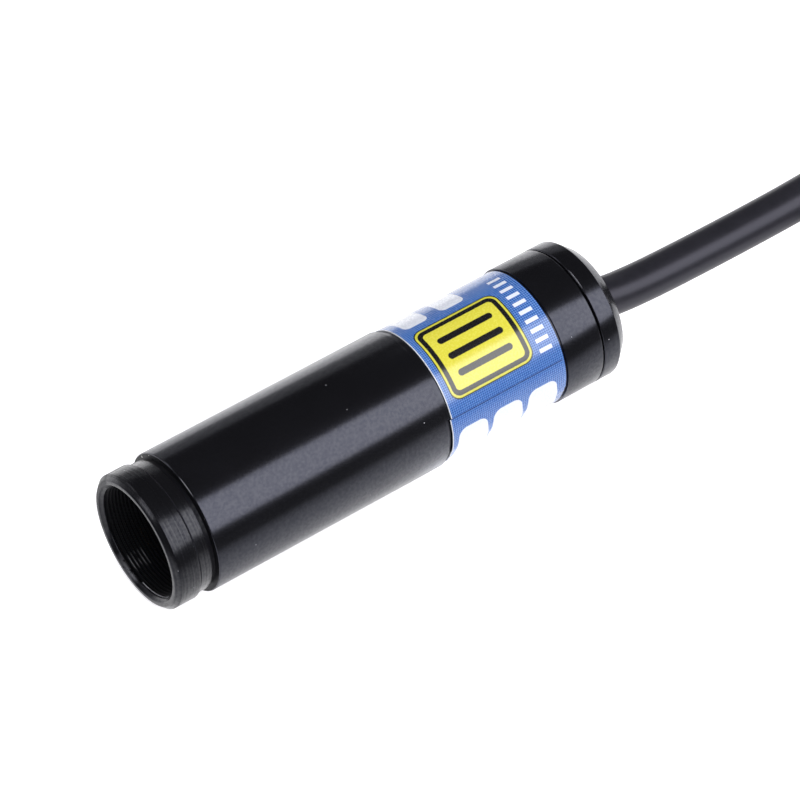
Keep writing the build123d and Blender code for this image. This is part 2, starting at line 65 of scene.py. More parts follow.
# Studio
# A white paper floor and a grey backdrop, a large key light on the camera's side, a small light
# past the mouth, a fill from above, and two lights behind that serve the views from the back.
def operation(kind, swapped=False):
    """A Channel method that adds one Math node."""

    def apply(self, other):
        pair = (other, self) if swapped else (self, other)
        return self.finish.math(kind, *pair)

    return apply


class Channel:
    """An output socket of a node in a Finish, which can take part in sums."""

    def __init__(self, finish, socket):
        self.finish = finish
        self.socket = socket

    __add__ = __radd__ = operation("ADD")
    __mul__ = __rmul__ = operation("MULTIPLY")
    __sub__ = operation("SUBTRACT")
    __rsub__ = operation("SUBTRACT", swapped=True)
    __truediv__ = operation("DIVIDE")
    __rtruediv__ = operation("DIVIDE", swapped=True)
    __lt__ = operation("LESS_THAN")
    __gt__ = operation("GREATER_THAN")


class Finish:
    """A node material whose last node is the Principled shader."""

    def __init__(self, name):
        self.material = bpy.data.materials.new(name)
        self.material.use_nodes = True
        self.tree = self.material.node_tree
        self.shader = self.tree.nodes["Principled BSDF"]

    def node(self, kind, inputs, out=0, **settings):
        """Adds a node: its settings first, then the values and links of its sockets."""
        made = self.tree.nodes.new(kind)
        for key, value in settings.items():
            setattr(made, key, value)
        for key, value in inputs.items():
            self.feed(made.inputs[key], value)
        return Channel(self, made.outputs[out])

    def feed(self, socket, value):
        """Links a Channel to a socket, or sets the socket to a plain value."""
        if isinstance(value, Channel):
            self.tree.links.new(value.socket, socket)
        else:
            socket.default_value = value

    def math(self, kind, first, second=0.0, clamp=False):
        return self.node("ShaderNodeMath", {0: first, 1: second}, operation=kind, use_clamp=clamp)

    def contrast(self, value, low, high):
        """Stretches the values from low to high over 0 to 1, and cuts off what lies outside."""
        return self.node("ShaderNodeMapRange", {0: value, 1: low, 2: high})

    def blend(self, share, first, second):
        """Mixes two colours: the first at share 0 and the second at share 1."""
        return self.node("ShaderNodeMix", {0: share, 6: first, 7: second}, out=2, data_type="RGBA")

    def place(self, axis):
        """One object coordinate, in metres: 0, 1 or 2 for X, Y or Z."""
        spot = self.node("ShaderNodeTexCoord", {}, out="Object")
        return self.node("ShaderNodeSeparateXYZ", {0: spot}, out=axis)

    def noise(self, scale, detail=2.0, stretch=None):
        """Soft random patches. Stretch lists the pattern's scale along X, Y and Z."""
        spot = self.node("ShaderNodeTexCoord", {}, out="Object")
        if stretch:
            spot = self.node("ShaderNodeMapping", {"Vector": spot, "Scale": stretch})
        return self.node("ShaderNodeTexNoise", {"Vector": spot, "Scale": scale, "Detail": detail})

    def bump(self, height, strength, distance):
        relief = {"Height": height, "Strength": strength, "Distance": distance}
        self.feed(self.shader.inputs["Normal"], self.node("ShaderNodeBump", relief))

    def set(self, **values):
        """Sets or links the shader's sockets; an underscore stands for the space in a name."""
        for key, value in values.items():
            self.feed(self.shader.inputs[key.replace("_", " ")], value)


def plane(name, corners, material):
    """A flat four-cornered piece of the studio."""
    mesh = bpy.data.meshes.new(name)
    mesh.from_pydata(corners, [], [(0, 1, 2, 3)])
    mesh.materials.append(material)
    piece = bpy.data.objects.new(name, mesh)
    scene.collection.objects.link(piece)


def softbox(name, centre, target, width, height, radiance):
    """A white area light of even radiance that faces the target."""
    light = bpy.data.lights.new(name, "AREA")
    light.shape = "RECTANGLE"
    light.size = width
    light.size_y = height
    light.energy = radiance * width * height * pi
    lamp = bpy.data.objects.new(name, light)
    scene.collection.objects.link(lamp)
    lamp.location = centre
    lamp.rotation_euler = (Vector(target) - Vector(centre)).to_track_quat("-Z", "Y").to_euler()
    return lamp


# The camera sees the paper white all over. Everything else sees it white behind a soft border that
# runs along the module, and dark on the camera's side of it: there the floor's colour is a
# painted shade.
border_y = -0.062
border_rate = 19.0
black = (0.0, 0.0, 0.0, 1.0)
paper = Finish("studio_paper")
paper_white = paper.blend(paper.noise(3.0), (0.90, 0.90, 0.90, 1.0), (0.93, 0.93, 0.93, 1.0))
paper_seen = paper.node("ShaderNodeLightPath", {}, out="Is Camera Ray")
behind = paper.math("MULTIPLY", paper.place(1) - border_y, border_rate, clamp=True)
paper_lit = paper.math("MAXIMUM", behind, paper_seen)
paper_glow = paper_lit * 0.4 + paper_seen * 0.3
paper.set(
    Base_Color=paper.blend(paper_lit, (0.05, 0.05, 0.05, 1.0), paper_white),
    Roughness=1.0,
    Specular_IOR_Level=0.0,
    Emission_Color=paper.blend(paper_glow, black, (0.97, 0.96, 1.0, 1.0)),
    Emission_Strength=1.0,
)
reach = 3.0
backdrop_y = 1.6
backdrop_top = 0.75
floor_corners = [(-reach, -reach, 0), (reach, -reach, 0), (reach, reach, 0), (-reach, reach, 0)]
plane("floor", floor_corners, paper.material)

backdrop = Finish("studio_backdrop")
backdrop.set(
    Base_Color=backdrop.blend(backdrop.noise(3.0), (0.30, 0.30, 0.31, 1.0), (0.34, 0.34, 0.35, 1.0)),
    Roughness=1.0,
    Specular_IOR_Level=0.0,
    Emission_Color=(1.0, 1.0, 1.0, 1.0),
    Emission_Strength=0.12,
)
backdrop_corners = [
    (-reach, backdrop_y, 0),
    (reach, backdrop_y, 0),
    (reach, backdrop_y, backdrop_top),
    (-reach, backdrop_y, backdrop_top),
]
plane("backdrop", backdrop_corners, backdrop.material)

room_dark = (0.02, 0.02, 0.022, 1.0)
world = bpy.data.worlds.new("studio_air")
scene.world = world
world.use_nodes = True
world.node_tree.nodes["Background"].inputs["Color"].default_value = room_dark

softbox("key_softbox", (0.35, -0.69, 0.58), (0.35, 0.0, 0.0), width=1.8, height=0.8, radiance=3.2)
softbox("side_softbox", (-1.02, 0.24, 0.55), (0.0, 0.0, 0.0), width=0.55, height=0.26, radiance=2.5)
fill = softbox("fill_softbox", (0.0, 0.6, 1.6), (0.0, 0.0, 0.0), width=1.6, height=1.6, radiance=1.7)
fill.visible_glossy = False
softbox("back_softbox", (-0.45, 0.8, 0.6), (-0.45, 0.0, 0.0), width=0.9, height=0.22, radiance=1.4)
softbox("rear_softbox", (1.2, 0.8, 0.6), (1.2, 0.0, 0.0), width=0.6, height=0.22, radiance=1.4)


# Cable
# One round jacket of black plastic, extruded over three cores. It leaves the end cap, crosses the
# near end of its own put-away hank and winds into it, two turns side by side on the floor.
def millimetres(*values):
    """Lengths in mm as the scene's metres."""
    return tuple(value * 0.001 for value in values)


def srgb(red, green, blue):
    """A colour given as 0 to 255 on screen, as the shader's linear values."""
    return (*[((level / 255 + 0.055) / 1.055) ** 2.4 for level in (red, green, blue)], 1.0)


def nurbs(name, points, radius, material):
    """A round tube along one open NURBS spline, with its ends closed, from sizes in mm."""
    data = bpy.data.curves.new(name, "CURVE")
    data.dimensions = "3D"
    data.bevel_depth = radius * 0.001
    data.bevel_resolution = 8
    data.resolution_u = 10
    data.use_fill_caps = True
    spline = data.splines.new("NURBS")
    spline.points.add(len(points) - 1)
    for control, point in zip(spline.points, points):
        control.co = (*millimetres(*point), 1.0)
    spline.order_u = 3
    spline.use_endpoint_u = True
    data.materials.append(material)
    piece = bpy.data.objects.new(name, data)
    scene.collection.objects.link(piece)
    return piece


jacket = Finish("cable_jacket")
jacket_grain = jacket.noise(900.0, 3.0)
jacket_tone = jacket.blend(jacket.noise(90.0), srgb(28, 28, 33), srgb(35, 35, 40))
jacket.set(
    Base_Color=jacket.blend(jacket_grain * 0.4, jacket_tone, srgb(48, 47, 54)),
    Roughness=0.3 + jacket_grain * 0.1,
    Specular_IOR_Level=0.45,
    Specular_Tint=(0.84, 0.82, 1.0, 1.0),
)
jacket.bump(jacket_grain, strength=0.25, distance=0.00004)

# Sizes in mm. The hank's runs lie along X, two on each side, and half circles join them. The hank
# rests on its ties, which leave a little room under its runs.
axis_z = 9.5
cable_radius = 2.75
tie_room = 0.5
lay_z = cable_radius + tie_room
far_bend_x = 147.2
near_bend_x = 95.2
run_start_x = 107.0
run_end_x = 135.0
left_inner_y = 4.5
right_inner_y = -28.5
left_outer_y = left_inner_y + 2 * cable_radius
right_outer_y = right_inner_y - 2 * cable_radius


def bend(x, start_y, end_y, count=7):
    """Control points of a half circle, turned clockwise, from one run's Y to the next one's."""
    middle_y = (start_y + end_y) / 2
    start = 90 if start_y > end_y else 270
    step = -180 / count
    control_radius = abs(start_y - end_y) / 2 / cos(radians(step / 2))
    points = []
    for index in range(count):
        angle = radians(start + step * (index + 0.5))
        y = middle_y + control_radius * sin(angle)
        points.append((x + control_radius * cos(angle), y, lay_z))
    return points


# The route: straight out of the end cap, down a little, over the hank's near bend in a low hump,
# down inside it, and round the hank.
cable_points = [
    (24.195, 0.0, axis_z),
    (35.075, 0.0, axis_z),
    (41.2, -0.35, 8.3),
    (57.5, -0.45, 7.95),
    (71.5, -1.1, 8.95),
    (83.9, -0.3, 9.15),
    (95.0, 1.1, 6.9),
    (108.4, 3.7, 3.9),
    (120.2, 4.4, lay_z),
    (128.7, left_inner_y, lay_z),
    (140.0, left_inner_y, lay_z),
    *bend(far_bend_x, left_inner_y, right_inner_y),
    (run_end_x, right_inner_y, lay_z),
    (run_start_x, right_inner_y, lay_z),
    *bend(near_bend_x, right_inner_y, left_outer_y),
    (run_start_x, left_outer_y, lay_z),
    (run_end_x, left_outer_y, lay_z),
    *bend(far_bend_x, left_outer_y, right_outer_y),
    (run_end_x, right_outer_y, lay_z),
    (101.2, right_outer_y, lay_z),
]
flex = nurbs("flex", cable_points, cable_radius, jacket.material)
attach(flex, "root")
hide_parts("cable", "cable_coil")


# Housing
# A tube turned from aluminium bar and anodised black. A stepped bore runs through it, its mouth
# end is stepped down twice, and the label's seat is turned a little below the barrel.
def shown(name, mesh, material, sharp=32):
    """Turns a mesh's faces outward, smooths it up to the sharp angle and shows it."""
    sheet = bmesh.new()
    sheet.from_mesh(mesh)
    bmesh.ops.recalc_face_normals(sheet, faces=sheet.faces)
    sheet.to_mesh(mesh)
    sheet.free()
    mesh.materials.append(material)
    mesh.shade_smooth()
    mesh.set_sharp_from_angle(angle=radians(sharp))
    piece = bpy.data.objects.new(name, mesh)
    scene.collection.objects.link(piece)
    return piece


def lathe(name, outline, material):
    """Turns a closed outline of (x, radius) points, in mm, round the module's axis."""
    segments = 256
    count = len(outline)
    verts, faces = [], []
    for turn in range(segments):
        angle = 2 * pi * turn / segments
        here, there = turn * count, (turn + 1) % segments * count
        for index, (x, radius) in enumerate(outline):
            after = (index + 1) % count
            verts.append(millimetres(x, radius * sin(angle), axis_z + radius * cos(angle)))
            faces.append((here + index, here + after, there + after, there + index))
    mesh = bpy.data.meshes.new(name)
    mesh.from_pydata(verts, [], faces)
    mesh.validate()
    return shown(name, mesh, material)


def eased(corners):
    """Cuts back each corner of a closed outline a little and rounds it with three points."""
    ease = 0.06
    points = []
    for index, corner in enumerate(corners):
        here = Vector(corner)
        runs = [Vector(corners[index - 1]) - here, Vector(corners[(index + 1) % len(corners)]) - here]
        cut = min(ease, *[run.length * 0.4 for run in runs])
        start, end = [here + run.normalized() * cut for run in runs]
        middle = here * 0.5 + (start + end) * 0.25
        points += [tuple(start), tuple(middle), tuple(end)]
    return points


def off_axis(finish):
    """How far a point lies from the module's axis, in metres."""
    aside = finish.place(1)
    above = finish.place(2) - axis_z * 0.001
    return finish.math("SQRT", aside * aside + above * above)


def facing(finish, angle, spread):
    """A soft mask round the module's axis: spread degrees each way from an angle off the top."""
    edge_rate = 30.0
    aside = finish.place(1)
    above = finish.place(2) - axis_z * 0.001
    toward = (aside * -sin(radians(angle)) + above * cos(radians(angle))) / off_axis(finish)
    return finish.math("MULTIPLY", toward - cos(radians(spread)), edge_rate, clamp=True)


def close_to(finish, x, half_width):
    """A mask: 1 within the half width of a place along the module's axis, in mm."""
    return finish.math("ABSOLUTE", finish.place(0) - x * 0.001) < half_width * 0.001


def black_anodising(name, gloss, turning, specular, satin):
    """Dyed aluminium with lathe lines, grain and dust. Turning is how much its tool marks dull it,
    and satin is how much they change its sheen. Returns the finish, its tone, its roughness and
    its sheen, to which worn places and painted glints may be added before they are set."""
    dyed = Finish(name)
    grain = dyed.noise(4200.0)
    lathe_lines = dyed.noise(1.0, 3.0, (26000.0, 60.0, 60.0))
    tool_marks = dyed.noise(1.0, 2.0, (7000.0, 30.0, 30.0))
    # Dust: one small dot in about half of the cells that the surface is split into
    dust_cells = {"Vector": dyed.node("ShaderNodeTexCoord", {}, out="Object"), "Scale": 560.0}
    dust_size = dyed.node("ShaderNodeTexVoronoi", dust_cells, out="Distance")
    dust_cell = dyed.node("ShaderNodeTexVoronoi", dust_cells, out="Color")
    dust = (dust_size < 0.036) * (dyed.node("ShaderNodeSeparateColor", {0: dust_cell}) > 0.45)
    tone = dyed.blend(dyed.noise(140.0, 3.0), srgb(14, 14, 16), srgb(20, 20, 23))
    tone = dyed.blend(dust, tone, srgb(190, 190, 198))
    roughness = gloss + grain * 0.05 + lathe_lines * 0.05 + tool_marks * turning
    mottle = dyed.contrast(dyed.noise(2500.0, 3.0), 0.36, 0.64)
    streaks = dyed.contrast(tool_marks, 0.38, 0.62)
    grooves = lathe_lines + grain * 0.6 + tool_marks * turning * 60.0
    dyed.bump(grooves, strength=0.12, distance=0.00001)
    dyed.set(
        Specular_IOR_Level=specular,
        Specular_Tint=(0.74, 0.77, 1.0, 1.0),
        Coat_Roughness=0.2,
    )
    return dyed, tone, roughness, mottle * 0.3 + streaks * satin


# Along the axis, from the mouth's face to the housing's end
front = -34.775
neck = -31.175
barrel_start = -28.775
relief = -25.275
lens_bore = -24.075
cavity = -13.075
seat = 6.025
land = 24.875
housing_end = 30.585

# Radii, outside and then inside
barrel_radius = 9.5
collar_radius = 9.22
neck_radius = 8.88
undercut_radius = 8.45
seat_radius = 9.18
face_radius = 8.57
mouth_radius = 8.064
crest_radius = 7.594
thread_root = 7.865
relief_radius = 8.05
lens_bore_radius = 5.25
cavity_radius = 8.1

# Lengths of the broken edges, the chamfers and the undercut, and of the thread's start in the mouth
break_width = 0.12
collar_chamfer = 0.65
neck_chamfer = 0.16
undercut_width = 0.7
mouth_chamfer = 0.47
first_crest = 0.6
first_root = 0.8

# The barrel: its two edges beside the grooves carry a painted glint, a bright line near their top where
# they catch the light.
anodised, tone, roughness, sheen = black_anodising(
    "black_anodised", gloss=0.14, turning=0.0, specular=0.6, satin=0.05
)
glint_edges = (-28.72, 30.94)
for edge in glint_edges:
    painted_glint = close_to(anodised, edge, 0.05) * facing(anodised, 17.0, 10.0)
    # A painted glint: the edge's colour is lightened where it faces the light.
    tone = anodised.blend(painted_glint, tone, srgb(170, 170, 178))
anodised.set(Base_Color=tone, Roughness=roughness, Coat_Weight=sheen)

# The collar: a scored line beside its edge, a side dulled by handling, and a scraped place on the
# chamfer inside the mouth.
collar, tone, roughness, sheen = black_anodising(
    "black_anodised_collar", gloss=0.08, turning=0.2, specular=0.23, satin=0.4
)
on_chamfer = (off_axis(collar) < 0.00812) * (collar.place(0) < -0.0341)
scraped = (collar.noise(1300.0, 3.0) > 0.4) * on_chamfer * facing(collar, -159.0, 17.0)
scored = close_to(collar, -31.08, 0.08)
collar.set(
    Base_Color=collar.blend(scraped * 0.8, tone, srgb(70, 70, 74)),
    Roughness=roughness + scored * 0.5 + facing(collar, -80.0, 38.0) * 0.3,
    Coat_Weight=sheen * (1 - scored),
)

# The undercut: duller than the rest, with three bits of lint, given as X, angle off the top,
# radius and size.
groove, tone, roughness, sheen = black_anodising(
    "black_anodised_groove", gloss=0.42, turning=0.0, specular=0.15, satin=0.0
)
lint = [(-28.8, -50.0, 9.1, 0.17), (-28.9, -44.0, 8.8, 0.12), (-28.8, -36.0, 9.2, 0.07)]
for x, angle, radius, size in lint:
    at = millimetres(x, -radius * sin(radians(angle)), axis_z + radius * cos(radians(angle)))
    spot = groove.node("ShaderNodeTexCoord", {}, out="Object")
    away = groove.node("ShaderNodeVectorMath", {0: spot, 1: at}, out="Value", operation="DISTANCE")
    tone = groove.blend(away < size * 0.001, tone, srgb(215, 214, 212))
groove.set(Base_Color=tone, Roughness=roughness, Coat_Weight=sheen)

housing_outline = [
    (front, mouth_radius),
    (front, face_radius),
    (front + collar_chamfer, collar_radius),
    (neck - neck_chamfer, collar_radius),
    (neck, neck_radius),
    (barrel_start - undercut_width, neck_radius),
    (barrel_start - undercut_width, undercut_radius),
    (barrel_start, undercut_radius),
    (barrel_start, barrel_radius - break_width),
    (barrel_start + break_width, barrel_radius),
    (seat, barrel_radius),
    (seat, seat_radius),
    (land, seat_radius),
    (land, barrel_radius),
    (housing_end - break_width, barrel_radius),
    (housing_end, barrel_radius - break_width),
    (housing_end, cavity_radius),
    (cavity, cavity_radius),
    (cavity, lens_bore_radius),
    (lens_bore, lens_bore_radius),
    (lens_bore, relief_radius),
    (relief, relief_radius),
    (relief, thread_root),
    (front + first_root, thread_root),
    (front + first_crest, crest_radius),
    (front + mouth_chamfer, crest_radius),
]
housing = lathe("housing_shell", eased(housing_outline), anodised.material)
housing.data.materials.append(collar.material)
housing.data.materials.append(groove.material)
collar_slot, groove_slot = 1, 2
for face in housing.data.polygons:
    x = face.center.x * 1000
    radius = Vector((face.center.y, face.center.z - axis_z * 0.001)).length * 1000
    if x < barrel_start - 0.02:
        face.material_index = collar_slot
    in_undercut = barrel_start - undercut_width - 0.06 < x < barrel_start + 0.01
    below_barrel = undercut_radius - 0.15 < radius < barrel_radius - 0.14
    to_mouth = face.normal.x < -0.5
    on_floor = face.normal.x < 0.5 and radius < undercut_radius + 0.05
    if in_undercut and below_barrel and (to_mouth or on_floor):
        face.material_index = groove_slot
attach(housing, "root")
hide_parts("housing")


# Mouth thread
# A fine inside thread, cut into the housing's bore before anodising. Its ridge is one helix on the
# bore's wall, which fades in at the mouth's chamfer and out at the relief.
def helix(name, turns, sizes, material):
    """A V-shaped ridge that winds up the X axis and tapers at both ends, from sizes in mm."""
    tree = bpy.data.node_groups.new(name, "GeometryNodeTree")
    tree.interface.new_socket("Geometry", in_out="OUTPUT", socket_type="NodeSocketGeometry")
    values = {"Turns": turns, **{key: size * 0.001 for key, size in sizes.items()}}
    sockets = {
        key: tree.interface.new_socket(key, in_out="INPUT", socket_type="NodeSocketFloat")
        for key in values
    }
    given = tree.nodes.new("NodeGroupInput").outputs

    def add(kind, inputs, **settings):
        """Adds a node and feeds its sockets, which are named by identifier."""
        made = tree.nodes.new(kind)
        for key, value in settings.items():
            setattr(made, key, value)
        for key, value in inputs.items():
            socket = next(entry for entry in made.inputs if entry.identifier == key)
            if isinstance(value, bpy.types.NodeSocket):
                tree.links.new(value, socket)
            else:
                socket.default_value = value
        return made.outputs[0]

    def math(kind, first, second):
        return add("ShaderNodeMath", {"Value": first, "Value_001": second}, operation=kind)

    spiral = add(
        "GeometryNodeCurveSpiral",
        {
            "Resolution": 120,
            "Rotations": given["Turns"],
            "Start Radius": given["Radius"],
            "End Radius": given["Radius"],
            "Height": given["Length"],
        },
    )
    # The ridge grows over the first 0.7 of a turn and shrinks again over the last.
    along_curve = add("GeometryNodeSplineParameter", {})
    fade = math("MULTIPLY", given["Turns"], 1.4)
    rise = math("MULTIPLY", along_curve, fade)
    fall = math("MULTIPLY", math("SUBTRACT", 1.0, along_curve), fade)
    size = math("MINIMUM", math("MINIMUM", rise, fall), 1.0)
    thinned = add("GeometryNodeSetCurveRadius", {"Curve": spiral, "Radius": size})
    upright = add("GeometryNodeSetCurveNormal", {"Curve": thinned}, mode="Z_UP")
    corners = [("Sunk", "Foot", -1), ("Sunk", "Foot", 1), ("Ridge", "Flat", 1), ("Ridge", "Flat", -1)]
    profile_points = {}
    for index, (height, half_width, side) in enumerate(corners):
        across_ridge = math("MULTIPLY", given[half_width], float(side))
        point = add("ShaderNodeCombineXYZ", {"X": given[height], "Y": across_ridge})
        profile_points[f"Point {index + 1}"] = point
    profile = add("GeometryNodeCurvePrimitiveQuadrilateral", profile_points, mode="POINTS")
    ridge = add(
        "GeometryNodeCurveToMesh", {"Curve": upright, "Profile Curve": profile, "Fill Caps": True}
    )
    laid = add("GeometryNodeTransform", {"Geometry": ridge, "Rotation": (0.0, pi / 2, 0.0)})
    whole = add("GeometryNodeRealizeInstances", {"Geometry": laid})
    coated = add("GeometryNodeSetMaterial", {"Geometry": whole, "Material": material})
    tree.links.new(coated, tree.nodes.new("NodeGroupOutput").inputs[0])
    maker = bpy.data.objects.new(name + "_maker", bpy.data.meshes.new(name + "_maker"))
    scene.collection.objects.link(maker)
    modifier = maker.modifiers.new("nodes", "NODES")
    modifier.node_group = tree
    for key, value in values.items():
        modifier[sockets[key].identifier] = value
    graph = bpy.context.evaluated_depsgraph_get()
    mesh = bpy.data.meshes.new_from_object(maker.evaluated_get(graph))
    bpy.data.objects.remove(maker)
    return mesh


# The crests carry painted glints in two places: on the first turn, and on the next few lower down.
thread_black = Finish("thread_black")
thread_grain = thread_black.noise(3000.0, 3.0)
on_crest = off_axis(thread_black) < 0.00764
first_turn = facing(thread_black, 160.0, 34.0) * (thread_black.place(0) < -0.0336)
next_turns = facing(thread_black, 203.0, 10.0) * (thread_black.place(0) < -0.0312)
patches = thread_black.contrast(thread_black.noise(900.0), 0.3, 0.55)
# Painted glints: the crests' colour is lightened where they catch the light.
painted_glint = on_crest * (first_turn * 0.8 + next_turns * 0.8) * patches
tone = thread_black.blend(thread_grain, srgb(17, 17, 19), srgb(24, 24, 26))
thread_black.set(
    Base_Color=thread_black.blend(painted_glint, tone, srgb(190, 190, 198)),
    Roughness=0.4 + thread_grain * 0.1,
    Specular_IOR_Level=0.1,
    Specular_Tint=(0.84, 0.86, 1.0, 1.0),
)

thread_start = 0.75
thread_pitch = 0.5
thread_turns = 17.24
thread_sizes = {
    "Radius": thread_root,
    "Length": thread_turns * thread_pitch,
    "Ridge": thread_root - crest_radius,
    "Sunk": -0.03,
    "Foot": 0.22,
    "Flat": 0.035,
}
thread_mesh = helix("mouth_thread", thread_turns, thread_sizes, thread_black.material)
thread_mesh.transform(Matrix.Translation(millimetres(front + thread_start, 0.0, axis_z)))
thread_mesh.materials.clear()
mouth_thread = shown("mouth_thread", thread_mesh, thread_black.material, 30)
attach(mouth_thread, "root")


# End cap
# Turned from the same bar as the housing, into which its spigot slides with a seal ring. Its
# shoulder leaves a fine parting groove, and its cone runs down to a flat face with the cable's hole.
flange = 30.795
cone = 33.195
rear = 34.775
spigot = 23.995
seal_front, seal_rear = 26.795, 28.295
web = 31.995
spigot_radius = 8.06
gland_radius = 5.489
seal_radius = 6.9
parting_radius = 8.85
rear_radius = 8.09
hole_radius = 3.25
hole_ease = 0.4
cap_outline = [
    (spigot, gland_radius),
    (spigot, spigot_radius),
    (seal_front, spigot_radius),
    (seal_front, seal_radius),
    (seal_rear, seal_radius),
    (seal_rear, spigot_radius),
    (housing_end, spigot_radius),
    (housing_end, parting_radius),
    (flange, parting_radius),
    (flange, barrel_radius - break_width),
    (flange + break_width, barrel_radius),
    (cone, barrel_radius),
    (rear, rear_radius),
    (rear, hole_radius + hole_ease),
    (rear - hole_ease, hole_radius),
    (web, hole_radius),
    (web, gland_radius),
]
rear_cap = lathe("rear_cap_shell", eased(cap_outline), anodised.material)
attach(rear_cap, "root")
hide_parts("rear_cap")


# Label
# A blue plastic film with adhesive on its back, printed in fine dots. It is wound once round its
# seat with a slight skew and lapped over itself. Its print is plain panels, bars and ticks.
# The seam, the lap and the ramp up to it are in degrees round the module, the rest in mm.
label_front = 7.005
label_width = 17.66
label_radius = seat_radius + 0.005
film = 0.12
seam = 68.8
lap = 30.0
ramp = 9.0
skew = 0.3
print_radius = 9.3


def film_mesh():
    """The film as a closed shell, with UV in mm: along the film and across it."""
    steps = 260
    verts, uvs, faces = [], [], []
    for index in range(steps + 1):
        share = index / steps
        turned_by = radians(360 + lap) * share
        over = min(max((radians(lap + ramp) - turned_by) / radians(ramp), 0.0), 1.0)
        lift = over * over * (3 - 2 * over) * (film + 0.004)
        angle = radians(seam) + turned_by
        for radius in (label_radius + lift, label_radius + film + lift):
            for across_film in (0.0, label_width):
                x = label_front - skew * (1 - share) + across_film
                verts.append(millimetres(x, -radius * sin(angle), axis_z + radius * cos(angle)))
                uvs.append((turned_by * print_radius, across_film))
    loop = (0, 1, 3, 2)
    for index in range(steps):
        here, there = index * 4, index * 4 + 4
        for side in range(4):
            first, second = loop[side], loop[(side + 1) % 4]
            faces.append((here + first, here + second, there + second, there + first))
    faces += [loop, tuple(steps * 4 + corner for corner in (2, 3, 1, 0))]
    mesh = bpy.data.meshes.new("label")
    mesh.from_pydata(verts, [], faces)
    layer = mesh.uv_layers.new(name="film")
    for corner in mesh.loops:
        layer.data[corner.index].uv = uvs[corner.vertex_index]
    return mesh


printed = Finish("label_film")
film_place = printed.node("ShaderNodeUVMap", {}, uv_map="film")
along = printed.node("ShaderNodeSeparateXYZ", {0: film_place}, out=0)
across = printed.node("ShaderNodeSeparateXYZ", {0: film_place}, out=1)


def panel(centre, size, corner, flare=0.0):
    """A mask: 1 inside a rounded panel, whose centre and size are (along, across) in mm."""
    edge = 0.06
    widening = (along - (centre[0] - size[0] / 2)) * flare
    past = []
    for value, middle, extent, extra in zip((along, across), centre, size, (0.0, widening)):
        away = printed.math("ABSOLUTE", value - middle) - (extent / 2 - corner) - extra
        past.append(printed.math("MAXIMUM", away, 0.0))
    outside = printed.math("SQRT", past[0] * past[0] + past[1] * past[1]) - corner
    return printed.math("SUBTRACT", 0.5, outside / edge, clamp=True)


def either(*masks):
    """A mask where any of the masks is 1."""
    total = masks[0]
    for mask in masks[1:]:
        total = printed.math("MAXIMUM", total, mask)
    return total


dot_rate = 10.4
one_way = printed.math("SINE", (along + across) * dot_rate)
other_way = printed.math("SINE", (along - across) * dot_rate)
dots = printed.math("ADD", one_way * other_way * 1.2, 0.5, clamp=True)
ink = printed.blend(dots, srgb(32, 74, 156), srgb(110, 156, 220))
ink = printed.blend(printed.noise(260.0) * 0.3, ink, srgb(34, 80, 176))

# White: two panels near the top, three flared ones below them, and a row of ticks
upper = either(*[panel((34.5, middle), (20.0, 3.7), 0.8) for middle in (3.2, 8.85)])
lower = either(*[panel((12.1, middle), (20.0, 4.2), 1.1, 0.12) for middle in (3.2, 8.6, 14.1)])
ticks = panel((50.2, 15.65), (13.6, 1.9), 0.05) * (printed.math("FRACT", along / 1.36) < 0.4)
ink = printed.blend(either(upper, lower, ticks), ink, srgb(234, 238, 251))

# Yellow: one panel with a dark rim, a dark frame and three dark bars
yellow_middle = (51.2, 7.4)
ink = printed.blend(panel(yellow_middle, (10.9, 12.9), 1.5), ink, srgb(26, 34, 30))
ink = printed.blend(panel(yellow_middle, (10.6, 12.6), 1.4), ink, srgb(216, 210, 74))
ink = printed.blend(panel(yellow_middle, (10.0, 12.0), 1.15), ink, srgb(26, 26, 28))
yellow_field = panel(yellow_middle, (8.7, 10.7), 0.6)
bars = either(*[panel((middle, 7.4), (0.9, 8.4), 0.45) for middle in (48.8, 51.2, 53.6)])
ink = printed.blend(yellow_field, ink, srgb(224, 216, 72))
ink = printed.blend(yellow_field * bars, ink, srgb(26, 26, 28))

# The film's own edges: a shadow at the lap, and the bare cut edge towards the mouth
lap_shadow = printed.math("SUBTRACT", 0.8, along * 5.0, clamp=True)
ink = printed.blend(lap_shadow, ink, srgb(24, 40, 96))
ink = printed.blend(across < 0.12, ink, srgb(225, 230, 240))
film_grain = printed.noise(3400.0)
printed.set(
    Base_Color=ink,
    Roughness=0.22 + film_grain * 0.1,
    Coat_Weight=0.9,
    Coat_Roughness=0.15,
)
printed.bump(dots * 0.4 + film_grain, strength=0.03, distance=0.00001)
label = shown("label", film_mesh(), printed.material, 40)
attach(label, "root")
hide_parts("label_wrap")


# Hank ties
# Two flat strips of black plastic, each moulded over a wire. Each is bent once round two runs of
# the hank, and its two ends are twisted together on top.
tie_coat = Finish("tie_plastic")
tie_grain = tie_coat.noise(1500.0, 3.0)
tie_coat.set(
    Base_Color=tie_coat.blend(tie_coat.noise(400.0), srgb(18, 18, 22), srgb(31, 31, 37)),
    Roughness=0.38 + tie_grain * 0.14,
)
tie_coat.bump(tie_grain, strength=0.2, distance=0.00003)

# Each tie's place along the hank and between its two runs
tie_places = [
    (near_bend_x + 42.8, (left_inner_y + left_outer_y) / 2),
    (near_bend_x + 22.8, (right_inner_y + right_outer_y) / 2),
]
tie_width = 3.0
tie_length = 9.0
tie_turns = 2.5
tie_thickness = 0.3
hoop_wire = 0.22
twist_wire = 0.2
tie_reach = cable_radius + 0.26
twist_width = 1.1
twist_rise = 3.55
strand_offset = 0.34
splay_start = 0.8
end_splay = 1.1
hoop_steps = 96
twist_steps = 40
tie_verts, tie_faces = [], []


